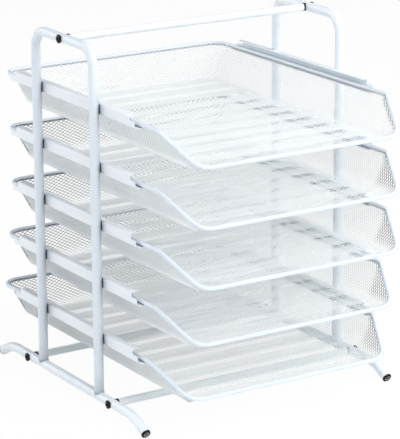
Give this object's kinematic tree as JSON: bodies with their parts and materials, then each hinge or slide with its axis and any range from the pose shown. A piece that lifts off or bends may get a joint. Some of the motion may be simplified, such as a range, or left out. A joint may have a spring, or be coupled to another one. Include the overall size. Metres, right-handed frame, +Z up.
{
  "type": "mesh desk organizer",
  "caption": "Free-standing desk organizer: mesh letter trays with wire rims and low slanted fronts slide on channel rails, one above the other, in a white steel tube frame.",
  "frame": {"origin": "on the desk, under the middle of the whole organizer's box", "axes": "+Z up; the open fronts of the trays face -Y; the left side frame, seen from the front, is at -X"},
  "size_m": [0.312, 0.3869, 0.3829],
  "materials": {
    "white_powder_coat": "powder coat, satin",
    "white_coated_sheet": "powder coat, satin",
    "white_coated_wire": "powder coat, satin",
    "white_coated_mesh": "powder coat, satin",
    "black_plastic": "moulded",
    "blackened_steel": "black oxide",
    "black_rubber": "moulded"
  },
  "bodies": {
    "frame": {"left_side_frame": "white_powder_coat", "right_side_frame": "white_powder_coat", "left_foot_tube": "white_powder_coat", "right_foot_tube": "white_powder_coat", "top_crossbar": "white_powder_coat", "front_crossbar": "white_powder_coat", "rear_crossbar": "white_powder_coat", "left_top_collar": "black_plastic", "left_top_screw": "blackened_steel", "left_front_collar": "black_plastic", "left_front_screw": "blackened_steel", "left_rear_collar": "black_plastic", "left_rear_screw": "blackened_steel", "left_front_foot_plug": "black_rubber", "left_rear_foot_plug": "black_rubber", "right_top_collar": "black_plastic", "right_top_screw": "blackened_steel", "right_front_collar": "black_plastic", "right_front_screw": "blackened_steel", "right_rear_collar": "black_plastic", "right_rear_screw": "blackened_steel", "right_front_foot_plug": "black_rubber", "right_rear_foot_plug": "black_rubber", "rail_1_left": "white_coated_sheet", "rail_1_right": "white_coated_sheet", "rail_2_left": "white_coated_sheet", "rail_2_right": "white_coated_sheet", "rail_3_left": "white_coated_sheet", "rail_3_right": "white_coated_sheet", "rail_4_left": "white_coated_sheet", "rail_4_right": "white_coated_sheet", "rail_5_left": "white_coated_sheet", "rail_5_right": "white_coated_sheet"},
    "tray_1": {"tray_1_rim": "white_coated_wire", "tray_1_basket": "white_coated_mesh"},
    "tray_2": {"tray_2_rim": "white_coated_wire", "tray_2_basket": "white_coated_mesh"},
    "tray_3": {"tray_3_rim": "white_coated_wire", "tray_3_basket": "white_coated_mesh"},
    "tray_4": {"tray_4_rim": "white_coated_wire", "tray_4_basket": "white_coated_mesh"},
    "tray_5": {"tray_5_rim": "white_coated_wire", "tray_5_basket": "white_coated_mesh"}
  },
  "joints": [
    {"name": "tray_1_slide", "type": "slide", "parent": "frame", "child": "tray_1", "axis": [0, -1, 0], "range_m": [-0.0215, 0.1285]},
    {"name": "tray_2_slide", "type": "slide", "parent": "frame", "child": "tray_2", "axis": [0, -1, 0], "range_m": [-0.0235, 0.1265]},
    {"name": "tray_3_slide", "type": "slide", "parent": "frame", "child": "tray_3", "axis": [0, -1, 0], "range_m": [-0.0245, 0.1255]},
    {"name": "tray_4_slide", "type": "slide", "parent": "frame", "child": "tray_4", "axis": [0, -1, 0], "range_m": [-0.015, 0.135]},
    {"name": "tray_5_slide", "type": "slide", "parent": "frame", "child": "tray_5", "axis": [0, -1, 0], "range_m": [-0.003, 0.147]}
  ]
}
